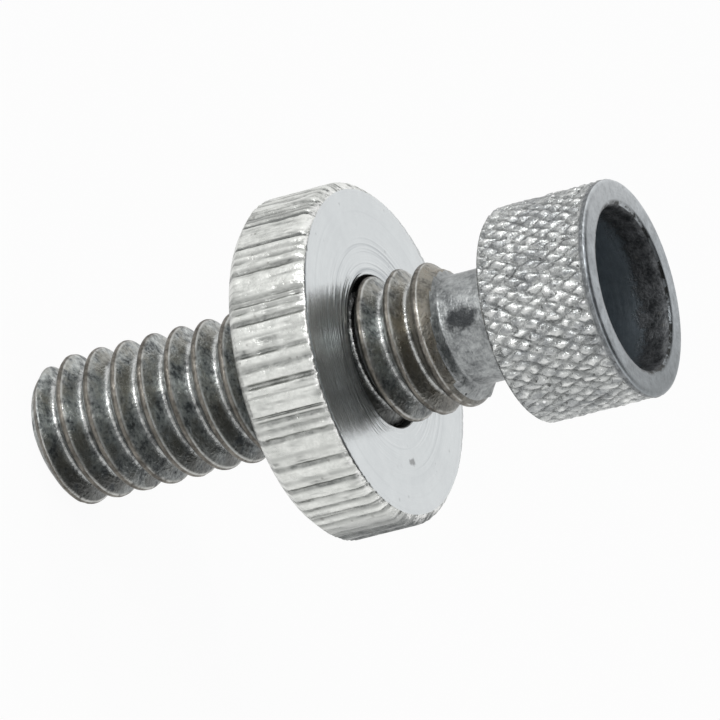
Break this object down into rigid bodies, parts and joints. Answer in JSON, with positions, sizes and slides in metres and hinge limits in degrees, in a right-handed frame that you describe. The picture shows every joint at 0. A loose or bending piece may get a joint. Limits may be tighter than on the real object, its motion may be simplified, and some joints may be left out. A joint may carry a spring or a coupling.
{
  "type": "cable adjuster screw",
  "caption": "Hollow threaded cable adjuster with a diamond-knurled cup head for the cable housing and a straight-knurled round lock nut on its thread.",
  "frame": {"origin": "centre of the screw's end face, on the screw's axis", "axes": "+Z along the screw's axis, from the thread end to the mouth of the cup; X and Y across it"},
  "size_m": [0.0144, 0.0144, 0.0266],
  "materials": {
    "zinc_steel": "worn zinc plating, satin, dark in the thread",
    "bright_aluminium": "bright turned, with lathe rings on its faces"
  },
  "bodies": {
    "adjuster_screw": {"adjuster_screw": "zinc_steel"},
    "lock_nut": {"lock_nut": "bright_aluminium"}
  },
  "joints": [
    {"name": "lock_nut_travel", "type": "slide", "parent": "adjuster_screw", "child": "lock_nut", "axis": [0, 0, 1], "range_m": [-0.01143, 0.00254]}
  ]
}
